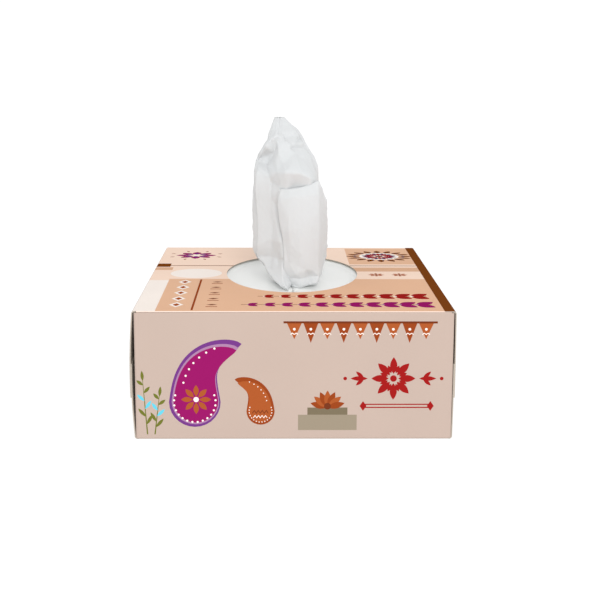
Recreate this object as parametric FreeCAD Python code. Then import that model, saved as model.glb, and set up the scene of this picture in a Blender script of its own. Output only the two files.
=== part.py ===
import FreeCAD, Part
import math
import os

# Tissue box: a glued folding carton with an oval opening, a slit film under the opening,
# a stack of interfolded tissues, and the next tissue standing up through the slit.
#
# Millimetres. The carton stands on z = 0, centred on x = 0 and y = 0. The front panel
# faces -Y.

V = FreeCAD.Vector

# Carton
box_width = 120.0  # across the front, over the closed ends
box_depth = 150.0  # front panel to back panel
box_height = 49.0
board = 0.4  # thickness of the paperboard
fold_radius = 1.0  # outside radius of a crease
flap_relief = 1.2  # the end flaps are cut back from the front and back panels by this much
upper_flap_height = 33.0  # end flap folded down from the top panel, outermost
lower_flap_height = 29.0  # end flap folded up from the bottom panel, under the upper one
dust_flap_length = 38.0  # end flaps of the front and back panels, innermost
dust_flap_clearance = 0.5  # between a dust flap and the top and bottom panels
left_end_bow = 1.1  # how far the left end swells
right_end_bow = 0.2
bow_share = 0.8  # share of an end's height that is curved
lap_height = 14.0  # glue lap of the bottom panel, inside the back panel
lap_end_taper = 6.0
seam_setback = 0.3  # the back panel's cut edge stops this far above the bottom

# Oval opening in the top panel
opening_width = 56.0
opening_length = 88.0
opening_offset = 6.0  # the opening's centre lies behind the panel's centre

# Slit film, glued under the top panel
film_thickness = 0.1
film_margin = 11.0  # glued border round the opening
film_dish_depth = 0.9
film_dish_slope = 3.0  # width of the sloping rim of the dish
slit_end_margin = 7.0  # from an end of the opening to the slit
slit_offset = -4.0  # the slit's centre from the opening's centre

# Tissues
sheet_thickness = 0.3  # two soft plies
stack_headroom = 0.6  # between the film and the top sheet
stack_end_clearance = 1.2  # between the stack and the end flaps
stack_side_clearance = 2.4  # between the stack and the front and back panels
stack_edge_radius = 2.0  # folded edges of the sheets, along the ends
tuft_width = 30.6
tuft_height = 70.0
slit_clearance = 2.4  # between the gathered sheet and the slit's long edges
slit_end_clearance = 9.0  # between the gathered sheet and the slit's ends

# Size at which the fold lines below are drawn
drawn_width = 30.6
drawn_height = 70.0
drawn_neck = 56.0  # room between the slit's ends, less the clearances
drawn_neck_width = 14.4
fold_rows = 13  # stations along each fold line
wrap_root_place = 0.45  # where the wrap springs from the cone's front, ridge to middle
wrap_root_rise = 0.57  # how far up the cone it does so

# Sheet drawn up into a tall cone: its fold lines from the slit to the tip, going round the
# cone from the front ridge by way of the left. Each point is across, along, up from the
# middle of the slit.
CONE_FOLDS = (
    (  # ridge on the left of the front
        (-2.2, -24.2, 0.0), (-2.4, -24.6, 1.2), (-4.0, -26.2, 3.8), (-4.7, -23.5, 10.0),
        (-5.2, -20.0, 19.0), (-7.6, -17.0, 27.0), (-9.1, -16.4, 35.0), (-9.2, -16.4, 44.5),
        (-8.3, -15.2, 51.0), (-7.2, -13.0, 58.5), (-6.7, -8.5, 63.5), (-6.2, -2.0, 70.0),
    ),
    (  # front edge of the left panel
        (-3.8, -22.8, 0.0), (-4.1, -23.2, 1.2), (-6.4, -25.6, 3.2), (-9.7, -21.0, 6.8),
        (-12.7, -15.6, 9.6), (-15.0, -15.6, 13.0), (-15.3, -14.4, 19.0), (-15.4, -13.6, 35.0),
        (-15.2, -13.0, 47.5), (-13.9, -9.0, 52.0), (-12.2, -9.6, 57.0), (-9.7, -5.4, 63.0),
        (-7.1, -1.6, 70.0),
    ),
    (  # left outline
        (-4.8, -19.4, 0.0), (-5.1, -19.6, 1.2), (-7.6, -22.0, 3.2), (-10.9, -17.6, 6.8),
        (-13.9, -11.6, 9.8), (-16.2, -9.4, 13.0), (-16.5, -8.0, 19.0), (-16.4, -7.6, 35.0),
        (-16.0, -7.0, 48.0), (-15.1, -4.6, 53.0), (-12.7, -4.4, 58.0), (-10.3, -2.6, 63.4),
        (-7.8, -0.6, 70.0),
    ),
    (  # left side
        (-4.8, -8.0, 0.0), (-8.2, -6.6, 3.5), (-13.4, 0.6, 10.0), (-15.2, 4.6, 18.0),
        (-14.6, 5.6, 35.0), (-13.4, 5.4, 49.0), (-10.6, 3.6, 58.0), (-8.6, 2.0, 64.0),
        (-7.3, 0.6, 70.0),
    ),
    (  # valley in the back, left of the middle
        (-2.6, 10.0, 0.0), (-4.6, 11.0, 3.5), (-7.6, 13.4, 10.0), (-8.2, 14.4, 21.0),
        (-7.2, 13.4, 38.0), (-6.6, 10.4, 52.0), (-6.4, 6.0, 62.0), (-6.3, 1.0, 70.0),
    ),
    (  # ridge in the middle of the back
        (-0.6, 22.6, 0.0), (-1.4, 24.0, 3.5), (-2.8, 26.4, 10.0), (-2.4, 27.0, 21.0),
        (-0.6, 23.6, 38.0), (-1.6, 17.0, 52.0), (-3.4, 9.4, 62.0), (-5.2, 1.5, 70.0),
    ),
    (  # right side of the back
        (3.4, 15.0, 0.0), (5.2, 16.0, 3.5), (6.6, 18.0, 10.0), (8.0, 18.6, 21.0),
        (7.8, 16.4, 38.0), (4.4, 11.6, 53.0), (0.4, 6.6, 62.0), (-4.2, 1.1, 70.0),
    ),
    (  # right outline, running over the shoulder to the tip
        (4.4, 3.0, 0.0), (7.2, 3.0, 3.5), (9.6, 3.6, 10.0), (11.2, 2.6, 21.0), (11.2, 1.6, 35.0),
        (10.6, 0.8, 45.0), (8.6, 0.0, 53.0), (6.2, -0.6, 58.0), (3.0, -0.8, 63.4),
        (-1.0, -0.6, 67.8), (-3.6, -0.2, 70.0),
    ),
    (  # right of the front, behind the wrap
        (3.4, -8.6, 0.0), (5.4, -9.4, 3.5), (7.4, -10.4, 10.0), (8.8, -11.0, 21.0),
        (9.0, -10.8, 35.0), (8.8, -9.8, 44.0), (7.0, -10.6, 52.0), (3.0, -8.0, 60.0),
        (-0.8, -4.6, 65.6), (-4.4, -1.5, 70.0),
    ),
    (  # middle of the front, behind the wrap
        (0.6, -12.8, 0.0), (0.8, -13.6, 3.5), (0.9, -13.4, 10.0), (0.8, -13.0, 21.0),
        (0.4, -12.0, 35.0), (0.2, -11.4, 43.5), (-0.8, -14.2, 52.0), (-2.6, -11.6, 60.0),
        (-4.4, -6.4, 65.6), (-5.3, -1.9, 70.0),
    ),
)

# The same sheet wrapped round the cone's front and right, out to its free edge at the back.
# Its upper edge is the pocket's mouth.
WRAP_FOLDS = (
    (  # left fold of the front panel
        (0.2, -20.8, 0.0), (0.0, -21.2, 1.0), (-1.8, -23.6, 4.0), (-3.8, -25.4, 8.0),
        (-4.3, -25.6, 13.0), (-4.4, -24.6, 19.0), (-5.6, -23.6, 26.0), (-6.4, -23.2, 34.0),
        (-5.8, -22.8, 41.8),
    ),
    (  # left of the front panel's middle
        (1.4, -21.0, 0.0), (1.2, -21.6, 1.0), (0.2, -24.8, 3.4), (-0.6, -26.8, 7.0),
        (-0.8, -27.4, 13.0), (-0.8, -27.0, 24.0), (-1.0, -25.8, 42.0),
    ),
    (  # right of the front panel's middle
        (3.2, -20.2, 0.0), (3.4, -20.8, 1.0), (3.8, -24.6, 2.6), (4.4, -26.8, 5.4),
        (4.8, -28.0, 12.0), (4.8, -27.8, 24.0), (4.6, -26.2, 43.2),
    ),
    (  # right corner of the front panel
        (4.8, -17.4, 0.0), (5.4, -18.2, 1.0), (8.8, -22.4, 2.2), (10.4, -24.4, 4.6),
        (10.3, -25.2, 9.0), (10.2, -25.2, 14.0), (10.4, -25.0, 28.0), (10.3, -24.0, 45.6),
    ),
    (  # right outline
        (6.0, -8.0, 0.0), (6.6, -8.4, 1.0), (9.8, -10.6, 2.6), (11.6, -12.0, 6.0),
        (12.8, -12.4, 10.0), (13.6, -12.4, 15.0), (13.9, -12.2, 24.0), (13.3, -11.4, 35.0),
    ),
    (  # right side
        (6.5, 5.0, 0.0), (9.6, 7.0, 2.8), (12.2, 8.4, 7.6), (13.4, 8.8, 14.0), (13.4, 8.0, 24.0),
        (12.8, 7.2, 31.0),
    ),
    (  # free edge at the back
        (5.2, 17.6, 0.0), (7.6, 20.0, 2.8), (9.8, 22.2, 7.6), (10.6, 23.0, 14.0),
        (10.6, 22.4, 28.0),
    ),
)

# Worked out from the sizes above
half_width = box_width / 2
half_depth = box_depth / 2
front_half_width = half_width - 2 * board  # the dust flaps lie under two layers
sleeve_half_width = front_half_width - fold_radius
top_underside = box_height - board
dish_floor = top_underside - film_dish_depth
stack_floor = board
stack_top = dish_floor - film_thickness - stack_headroom - sheet_thickness
tuft_base = stack_top + sheet_thickness / 2
stack_width = box_width - 2 * (3 * board + stack_end_clearance)
stack_depth = box_depth - 2 * (2 * board + stack_side_clearance)
slit_length = opening_length - 2 * slit_end_margin
slit_opening = drawn_neck_width * tuft_width / drawn_width + 2 * slit_clearance
slit_centre = opening_offset + slit_offset


def folded_strip(corners, radii, thickness, place):
    """Face of a strip bent round corners that all turn left, its thickness on the left.

    corners are 2D points of the outside, radii the outside radius at each inner corner,
    and place turns a 2D point into a vector.
    """
    outside = []
    inside = []
    ways = []
    for start, end in zip(corners, corners[1:]):
        length = math.dist(start, end)
        ways.append(((end[0] - start[0]) / length, (end[1] - start[1]) / length))

    def left_of(point, way, distance):
        return (point[0] - way[1] * distance, point[1] + way[0] * distance)

    outside.append([corners[0]])
    inside.append([left_of(corners[0], ways[0], thickness)])
    for corner, before, after, radius in zip(corners[1:-1], ways, ways[1:], radii):
        turn = math.acos(before[0] * after[0] + before[1] * after[1])
        run = radius * math.tan(turn / 2)
        enter = (corner[0] - before[0] * run, corner[1] - before[1] * run)
        leave = (corner[0] + after[0] * run, corner[1] + after[1] * run)
        centre = left_of(enter, before, radius)
        reach = math.dist(centre, corner)
        middle = ((corner[0] - centre[0]) / reach, (corner[1] - centre[1]) / reach)
        for side, size in ((outside, radius), (inside, radius - thickness)):
            side.append([
                left_of(enter, before, radius - size),
                (centre[0] + middle[0] * size, centre[1] + middle[1] * size),
                left_of(leave, after, radius - size),
            ])
    outside.append([corners[-1]])
    inside.append([left_of(corners[-1], ways[-1], thickness)])

    edges = []
    for side in (outside, inside):
        for stretch, following in zip(side, side[1:]):
            if len(stretch) == 3:
                edges.append(Part.Arc(*[place(p) for p in stretch]).toShape())
            edges.append(Part.makeLine(place(stretch[-1]), place(following[0])))
    for end in (0, -1):
        edges.append(Part.makeLine(place(outside[end][0]), place(inside[end][0])))
    return Part.Face(Part.Wire(Part.__sortEdges__(edges)))


def slab(low, high):
    """Box between two corners."""
    return Part.makeBox(high[0] - low[0], high[1] - low[1], high[2] - low[2], V(*low))


def sleeve():
    """Front, top, back and bottom panels, with the glue lap inside the back panel."""
    seam = half_depth - board
    middle = box_height / 2

    def place(point):
        return V(-sleeve_half_width, point[0], point[1])

    lap = lap_section(seam)
    front_and_top = folded_strip(
        [(half_depth, seam_setback), (half_depth, box_height), (-half_depth, box_height),
         (-half_depth, middle)],
        [fold_radius, fold_radius], board, place)
    front_and_bottom = folded_strip(
        [(-half_depth, middle), (-half_depth, 0), (seam, 0), (seam, fold_radius + board)],
        [fold_radius, fold_radius], board, place)
    along = V(2 * sleeve_half_width, 0, 0)
    return front_and_top.extrude(along).fuse([front_and_bottom.extrude(along), lap])


def lap_section(seam):
    """Glue lap, tapered at both ends, standing on the bottom panel's back crease."""
    foot = fold_radius
    outline = Part.makePolygon([
        V(-sleeve_half_width, seam, foot), V(sleeve_half_width, seam, foot),
        V(sleeve_half_width, seam, foot + board),
        V(sleeve_half_width - lap_end_taper, seam, lap_height),
        V(-sleeve_half_width + lap_end_taper, seam, lap_height),
        V(-sleeve_half_width, seam, foot + board), V(-sleeve_half_width, seam, foot)])
    return Part.Face(outline).extrude(V(0, -board, 0))


def end_flap(side, bow, layer, low, high):
    """End flap bent down from the top panel (layer 0) or up from the bottom panel (layer 1).

    The whole end is drawn as one bowed skin, and the flap is the part between two heights.
    """
    rise = bow / (1 - bow_share / 2)
    lean = math.atan2(rise, box_height / 2)
    curve = bow_share * box_height / 2 / math.sin(lean)
    inset = layer * board / math.cos(lean)
    edge = half_width - inset
    start = sleeve_half_width - fold_radius
    corners = [(-start, box_height), (-edge, box_height), (-edge - rise, box_height / 2),
               (-edge, 0), (-start, 0)]

    def place(point):
        return V(point[0], -half_depth + flap_relief, point[1])

    skin = folded_strip(corners, [fold_radius, curve - layer * board, fold_radius], board, place)
    flap = skin.extrude(V(0, box_depth - 2 * flap_relief, 0))
    reach = half_width + rise + 1
    flap = flap.common(slab((-reach, -half_depth, low), (0, half_depth, high)))
    return flap if side < 0 else flap.mirror(V(0, 0, 0), V(1, 0, 0))


def dust_flap(side, end):
    """Innermost end flap, folded in from the front (end -1) or back (end 1) panel."""
    height = box_height - 2 * (board + dust_flap_clearance)

    def place(point):
        return V(point[0], point[1], board + dust_flap_clearance)

    start = sleeve_half_width - fold_radius
    outline = folded_strip(
        [(start, half_depth), (-front_half_width, half_depth),
         (-front_half_width, half_depth - dust_flap_length)],
        [fold_radius], board, place)
    flap = outline.extrude(V(0, 0, height))
    flap = flap.common(slab((-half_width, 0, 0), (-start, half_depth, box_height)))
    if side > 0:
        flap = flap.mirror(V(0, 0, 0), V(1, 0, 0))
    if end < 0:
        flap = flap.mirror(V(0, 0, 0), V(0, 1, 0))
    return flap


def ellipse_wire(width, length, z):
    """Oval about the opening's centre, its long axis along Y."""
    oval = Part.Ellipse(V(0, 0, 0), length / 2, width / 2).toShape()
    oval.rotate(V(0, 0, 0), V(0, 0, 1), 90)
    oval.translate(V(0, opening_offset, z))
    return Part.Wire(oval)


def oval_prism(width, length, low, high):
    return Part.Face(ellipse_wire(width, length, low)).extrude(V(0, 0, high - low))


def carton():
    """Whole folded and glued carton, one sheet of paperboard."""
    pieces = []
    for side, bow in ((-1, left_end_bow), (1, right_end_bow)):
        pieces.append(end_flap(side, bow, 0, box_height - upper_flap_height, box_height))
        pieces.append(end_flap(side, bow, 1, 0, lower_flap_height))
        for end in (-1, 1):
            pieces.append(dust_flap(side, end))
    body = sleeve().fuse(pieces)
    hole = oval_prism(opening_width, opening_length, dish_floor, box_height + board)
    return body.cut(hole).removeSplitter()


def slit_prism(low, high):
    """Eye-shaped gap of the slit, held open by the tissue."""
    half_length = slit_length / 2
    half_opening = slit_opening / 2
    back = V(0, slit_centre + half_length, low)
    front = V(0, slit_centre - half_length, low)
    sides = [Part.Arc(front, V(sign * half_opening, slit_centre, low), back).toShape()
             for sign in (-1, 1)]
    return Part.Face(Part.Wire(Part.__sortEdges__(sides))).extrude(V(0, 0, high - low))


def slit_film():
    """Thin film: a glued border, a shallow dish under the opening, and the slit."""
    border_width = opening_width + 2 * film_margin
    border_length = opening_length + 2 * film_margin
    low = top_underside - film_thickness
    border = slab((-border_width / 2, opening_offset - border_length / 2, low),
                  (border_width / 2, opening_offset + border_length / 2, top_underside))
    floor_width = opening_width - 2 * film_dish_slope
    floor_length = opening_length - 2 * film_dish_slope

    def dish(lift):
        rim = ellipse_wire(opening_width, opening_length, top_underside + lift)
        floor = ellipse_wire(floor_width, floor_length, dish_floor + lift)
        return Part.makeLoft([rim, floor], True, True)

    film = border.fuse(dish(-film_thickness)).cut(dish(0))
    return film.cut(slit_prism(dish_floor - 2 * film_thickness, top_underside))


def tissue_stack():
    """Interfolded tissues: a block whose long edges are rounded folds."""
    half = stack_width / 2
    block = slab((-half, -stack_depth / 2, stack_floor), (half, stack_depth / 2, stack_top))
    folds = [edge for edge in block.Edges
             if abs(abs(edge.CenterOfMass.x) - half) < 1e-6
             and abs(edge.CenterOfMass.y) < 1e-6]
    return block.makeFillet(stack_edge_radius, folds)


def fold_curve(points):
    """Smooth fold line through its drawn points, in place on the stack."""
    scale = (tuft_width / drawn_width,
             (slit_length - 2 * slit_end_clearance) / drawn_neck,
             tuft_height / drawn_height)
    placed = [V(p[0] * scale[0], slit_centre + p[1] * scale[1], tuft_base + p[2] * scale[2])
              for p in points]
    spacing = [0.0]
    for near, far in zip(placed, placed[1:]):
        spacing.append(spacing[-1] + math.sqrt(near.distanceToPoint(far)))
    curve = Part.BSplineCurve()
    curve.interpolate(Points=placed, Parameters=[s / spacing[-1] for s in spacing])
    return curve


def stations(curve):
    return [curve.value(row / (fold_rows - 1)) for row in range(fold_rows)]


def wrap_root(ridge, middle):
    """Line on the cone's front, where the wrap springs from it."""
    line = []
    for row in range(fold_rows):
        rise = wrap_root_rise * row / (fold_rows - 1)
        start = ridge.value(rise)
        line.append(start + (middle.value(rise) - start) * wrap_root_place)
    return line


def shifted_line(grid, column, closed, distance):
    """Fold line moved square to the sheet, mitred between the faces that meet there."""
    line = grid[column]
    first = not closed and column == 0
    last = not closed and column == len(grid) - 1
    before = line if first else grid[column - 1]
    after = line if last else grid[(column + 1) % len(grid)]
    moved = []
    for row, here in enumerate(line):
        along = line[min(row + 1, fold_rows - 1)] - line[max(row - 1, 0)]
        across = V(0, 0, 0)
        if not first:
            across += (here - before[row]).normalize()
        if not last:
            across += (after[row] - here).normalize()
        if first or last:
            across *= 2
        mitre = min(2 / across.Length, 2)
        moved.append(here + across.cross(along).normalize() * distance * mitre)
    curve = Part.BSplineCurve()
    curve.interpolate(
        Points=moved, Parameters=[row / (fold_rows - 1) for row in range(fold_rows)])
    return curve


def sheet_solid(grid, closed):
    """Thin folded sheet: smooth along its fold lines, creased across them."""
    columns = range(len(grid))
    skins = [[shifted_line(grid, column, closed, side * sheet_thickness / 2)
              for column in columns] for side in (-1, 1)]
    pairs = list(zip(columns, columns[1:]))
    if closed:
        pairs.append((columns[-1], 0))
    faces = []
    for near, far in pairs:
        for skin in skins:
            faces.append(Part.makeRuledSurface(skin[near].toShape(), skin[far].toShape()))
        for end in (0.0, 1.0):
            rims = [Part.makeLine(skin[near].value(end), skin[far].value(end))
                    for skin in skins]
            faces.append(Part.makeRuledSurface(*rims))
    if not closed:
        for column in (0, -1):
            faces.append(Part.makeRuledSurface(*[skin[column].toShape() for skin in skins]))
    shell = Part.makeShell(faces)
    shell.sewShape()
    solid = Part.makeSolid(shell)
    if solid.Volume < 0:
        solid.reverse()
    return solid


def tuft():
    """Gathered sheet above the stack: the cone and the wrap."""
    cone = [fold_curve(points) for points in CONE_FOLDS]
    wrap = [fold_curve(points) for points in WRAP_FOLDS]
    wrap_lines = [wrap_root(cone[0], cone[-1])] + [stations(curve) for curve in wrap]
    return (sheet_solid([stations(curve) for curve in cone], True),
            sheet_solid(wrap_lines, False))


def pulled_tissue():
    """Next tissue: flat on the stack, gathered through the slit and drawn up to a tip."""
    half = stack_width / 2 - stack_edge_radius / 2
    deep = stack_depth / 2
    flat = slab((-half, -deep, stack_top), (half, deep, stack_top + sheet_thickness))
    return flat.fuse(list(tuft()))


def main():
    os.makedirs("parts", exist_ok=True)
    nodes = {
        "carton": carton(),
        "slit_film": slit_film(),
        "tissue_stack": tissue_stack(),
        "pulled_tissue": pulled_tissue(),
    }
    for name, shape in nodes.items():
        print(name, "solids", len(shape.Solids), "valid", shape.isValid(),
              "volume", round(shape.Volume, 1), shape.BoundBox)
        shape.exportStep(f"parts/{name}.step")


main()
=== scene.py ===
"""Tissue box: a printed, folded and glued carton, a slit film under its oval opening, a stack
of interfolded tissues, and the next tissue standing up through the slit."""

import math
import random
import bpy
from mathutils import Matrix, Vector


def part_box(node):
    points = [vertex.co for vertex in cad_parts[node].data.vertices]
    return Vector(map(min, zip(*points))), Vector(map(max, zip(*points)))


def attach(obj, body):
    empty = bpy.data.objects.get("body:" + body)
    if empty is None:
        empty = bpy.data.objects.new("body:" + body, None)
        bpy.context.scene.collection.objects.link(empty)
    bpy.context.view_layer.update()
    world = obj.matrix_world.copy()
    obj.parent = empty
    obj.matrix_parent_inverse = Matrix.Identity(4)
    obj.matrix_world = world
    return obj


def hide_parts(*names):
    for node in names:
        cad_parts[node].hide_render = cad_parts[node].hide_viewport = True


bl_info = {
    "name": "Tissue Box",
    "version": (1, 0, 0),
    "blender": (4, 5, 0),
    "location": "View3D > Sidebar > Tissue Box",
    "description": "Builds a printed tissue carton with a tissue drawn up through its slit",
    "category": "Add Mesh",
}

import bpy
import numpy as np
from bpy.props import FloatProperty, FloatVectorProperty, IntProperty, PointerProperty
from mathutils import Matrix, Vector, noise
from mathutils.geometry import delaunay_2d_cdt

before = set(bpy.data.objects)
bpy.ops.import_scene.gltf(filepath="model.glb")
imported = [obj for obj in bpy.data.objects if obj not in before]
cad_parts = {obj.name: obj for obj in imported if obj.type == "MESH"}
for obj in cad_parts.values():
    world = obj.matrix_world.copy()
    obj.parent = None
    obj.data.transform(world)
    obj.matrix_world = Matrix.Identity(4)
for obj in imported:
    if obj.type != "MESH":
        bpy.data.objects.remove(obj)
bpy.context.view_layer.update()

# The shapes are worked out in millimetres; settings and meshes are in metres.
MM = 0.001
DEPTH = (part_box("carton")[1][1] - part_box("carton")[0][1]) / MM
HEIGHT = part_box("carton")[1][2] / MM
STACK_LOW, STACK_HIGH = (Vector(corner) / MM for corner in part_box("tissue_stack"))
TISSUE_LOW, TISSUE_HIGH = (Vector(corner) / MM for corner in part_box("pulled_tissue"))
FIELDS = ("beige", "blush", "tan", "cream", "peach")

# Sheet drawn up into a tall cone: its fold lines from the slit to the tip, going round the
# cone from the front ridge by way of the left. Each point is across, along, up from the
# middle of the slit.
CONE_FOLDS = (
    (  # ridge on the left of the front
        (-2.2, -24.2, 0), (-2.4, -24.6, 1.2), (-4, -26.2, 3.8), (-4.7, -23.5, 10),
        (-5.2, -20, 19), (-7.6, -17, 27), (-9.1, -16.4, 35), (-9.2, -16.4, 44.5),
        (-8.3, -15.2, 51), (-7.2, -13, 58.5), (-6.7, -8.5, 63.5), (-6.2, -2, 70),
    ),
    (  # front edge of the left panel
        (-3.8, -22.8, 0), (-4.1, -23.2, 1.2), (-6.4, -25.6, 3.2), (-9.7, -21, 6.8),
        (-12.7, -15.6, 9.6), (-15, -15.6, 13), (-15.3, -14.4, 19), (-15.4, -13.6, 35),
        (-15.2, -13, 47.5), (-13.9, -9, 52), (-12.2, -9.6, 57), (-9.7, -5.4, 63),
        (-7.1, -1.6, 70),
    ),
    (  # left outline
        (-4.8, -19.4, 0), (-5.1, -19.6, 1.2), (-7.6, -22, 3.2), (-10.9, -17.6, 6.8),
        (-13.9, -11.6, 9.8), (-16.2, -9.4, 13), (-16.5, -8, 19), (-16.4, -7.6, 35),
        (-16, -7, 48), (-15.1, -4.6, 53), (-12.7, -4.4, 58), (-10.3, -2.6, 63.4),
        (-7.8, -0.6, 70),
    ),
    (  # left side
        (-4.8, -8, 0), (-8.2, -6.6, 3.5), (-13.4, 0.6, 10), (-15.2, 4.6, 18),
        (-14.6, 5.6, 35), (-13.4, 5.4, 49), (-10.6, 3.6, 58), (-8.6, 2, 64),
        (-7.3, 0.6, 70),
    ),
    (  # valley in the back, left of the middle
        (-2.6, 10, 0), (-4.6, 11, 3.5), (-7.6, 13.4, 10), (-8.2, 14.4, 21),
        (-7.2, 13.4, 38), (-6.6, 10.4, 52), (-6.4, 6, 62), (-6.3, 1, 70),
    ),
    (  # ridge in the middle of the back
        (-0.6, 22.6, 0), (-1.4, 24, 3.5), (-2.8, 26.4, 10), (-2.4, 27, 21),
        (-0.6, 23.6, 38), (-1.6, 17, 52), (-3.4, 9.4, 62), (-5.2, 1.5, 70),
    ),
    (  # right side of the back
        (3.4, 15, 0), (5.2, 16, 3.5), (6.6, 18, 10), (8, 18.6, 21),
        (7.8, 16.4, 38), (4.4, 11.6, 53), (0.4, 6.6, 62), (-4.2, 1.1, 70),
    ),
    (  # right outline, running over the shoulder to the tip
        (4.4, 3, 0), (7.2, 3, 3.5), (9.6, 3.6, 10), (11.2, 2.6, 21), (11.2, 1.6, 35),
        (10.6, 0.8, 45), (8.6, 0, 53), (6.2, -0.6, 58), (3, -0.8, 63.4),
        (-1, -0.6, 67.8), (-3.6, -0.2, 70),
    ),
    (  # right of the front, behind the wrap
        (3.4, -8.6, 0), (5.4, -9.4, 3.5), (7.4, -10.4, 10), (8.8, -11, 21),
        (9, -10.8, 35), (8.8, -9.8, 44), (7, -10.6, 52), (3, -8, 60),
        (-0.8, -4.6, 65.6), (-4.4, -1.5, 70),
    ),
    (  # middle of the front, behind the wrap
        (0.6, -12.8, 0), (0.8, -13.6, 3.5), (0.9, -13.4, 10), (0.8, -13, 21),
        (0.4, -12, 35), (0.2, -11.4, 43.5), (-0.8, -14.2, 52), (-2.6, -11.6, 60),
        (-4.4, -6.4, 65.6), (-5.3, -1.9, 70),
    ),
)

# The same sheet wrapped round the cone's front and right, out to its free edge at the back.
# Its upper edge is the pocket's mouth.
WRAP_FOLDS = (
    (  # left fold of the front panel
        (0.2, -20.8, 0), (0, -21.2, 1), (-1.8, -23.6, 4), (-3.8, -25.4, 8),
        (-4.3, -25.6, 13), (-4.4, -24.6, 19), (-5.6, -23.6, 26), (-6.4, -23.2, 34),
        (-5.8, -22.8, 41.8),
    ),
    (  # left of the front panel's middle
        (1.4, -21, 0), (1.2, -21.6, 1), (0.2, -24.8, 3.4), (-0.6, -26.8, 7),
        (-0.8, -27.4, 13), (-0.8, -27, 24), (-1, -25.8, 42),
    ),
    (  # right of the front panel's middle
        (3.2, -20.2, 0), (3.4, -20.8, 1), (3.8, -24.6, 2.6), (4.4, -26.8, 5.4),
        (4.8, -28, 12), (4.8, -27.8, 24), (4.6, -26.2, 43.2),
    ),
    (  # right corner of the front panel
        (4.8, -17.4, 0), (5.4, -18.2, 1), (8.8, -22.4, 2.2), (10.4, -24.4, 4.6),
        (10.3, -25.2, 9), (10.2, -25.2, 14), (10.4, -25, 28), (10.3, -24, 45.6),
    ),
    (  # right outline
        (6, -8, 0), (6.6, -8.4, 1), (9.8, -10.6, 2.6), (11.6, -12, 6),
        (12.8, -12.4, 10), (13.6, -12.4, 15), (13.9, -12.2, 24), (13.3, -11.4, 35),
    ),
    (  # right side
        (6.5, 5, 0), (9.6, 7, 2.8), (12.2, 8.4, 7.6), (13.4, 8.8, 14), (13.4, 8, 24),
        (12.8, 7.2, 31),
    ),
    (  # free edge at the back
        (5.2, 17.6, 0), (7.6, 20, 2.8), (9.8, 22.2, 7.6), (10.6, 23, 14),
        (10.6, 22.4, 28),
    ),
)

# How softly the sheet bends at each fold line, as a share of the way to the next one. The
# wrap's first line is the one where it leaves the cone.
CONE_SOFTNESS = (0.08, 0.06, 0.3, 0.45, 0.45, 0.3, 0.45, 0.4, 0.3, 0.15)
WRAP_SOFTNESS = (0.1, 0.1, 0.5, 0.5, 0.1, 0.3, 0.4, 0.1)

# Smaller facets of the front of the cone, between points that each say across, up, and
# push towards the front.
CONE_DENTS = (
    (-20, 75, 0), (16, 75, 0), (16, -4, 0), (-20, -4, 0),
    (-6.9, 71.5, 0.4), (-5.8, 71.5, -1.4), (-4.4, 71.5, 0.6), (-5.8, 66.8, 0.1),
    (-18, 57, 0.8), (-12.2, 58.8, 4.8), (-7.5, 62.6, 3.6),
    (-18, 52, 0), (-14.6, 53.2, -3.2), (-10.8, 50.6, -5), (-9, 52.4, -5.2),
    (-7.9, 55.8, -3.6), (-7.1, 61, 0.2),
    (-6.2, 62.7, 1.6), (-6.6, 56, 1.7), (-7.4, 52.6, 1.2), (-4.2, 60.8, 1.8),
    (-0.9, 58, 2.2), (0.8, 55.8, 2.8),
    (2.9, 64.4, 2.2), (-4.8, 63.6, 1.2), (-3.4, 61.4, -0.8), (3.4, 61.9, -2),
    (-0.4, 59.4, 2.2), (3.9, 60.4, 2.4), (-0.3, 57.7, -0.4), (4.9, 58.2, -0.8),
    (10, 60, 0), (14, 46, 0), (6, 52, 4.6), (-4.5, 52.2, 4),
    (-9.8, 46.6, 0.3), (-7, 48.6, 5), (-3.3, 49.1, 10.2), (2.8, 48.8, 12.8), (6.1, 47.1, 13.2),
    (8.8, 45.1, 11.8), (11, 44, 5),
    (-9.6, 45.2, 0), (-8.4, 45, 1.4), (-4.9, 42.8, 7.2), (-3, 42.2, 9.4), (2.8, 42, 11.6),
    (7, 42.6, 12.4), (10.5, 39, 9), (-8.8, 44.2, -0.6), (-5.6, 41.8, 6.2), (-3.8, 39, 8.6),
    (-9.4, 38, 0), (2, 37, 10.6),
    (4, 30, 9), (-18, 30, 0), (-9.3, 28, 0), (-4, 30, 4.6), (-4, 20, 4.2),
    (-3, 12, 4), (-3, 6, 3), (3, 12, 5),
    (-0.5, 9, 5.8), (-0.5, 3, 7), (4, 3.4, 9), (-9, 20, 0),
    (-18, 16.6, 0), (-6.6, 16.6, 0.3), (-18, 12, -0.8), (-14, 12.4, -2),
    (-9, 12.6, -2.8), (-6.4, 12, -2.4), (-14, 9.6, -0.4), (-6.2, 9.6, 0.4),
    (-9, 6, 0),
)

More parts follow.
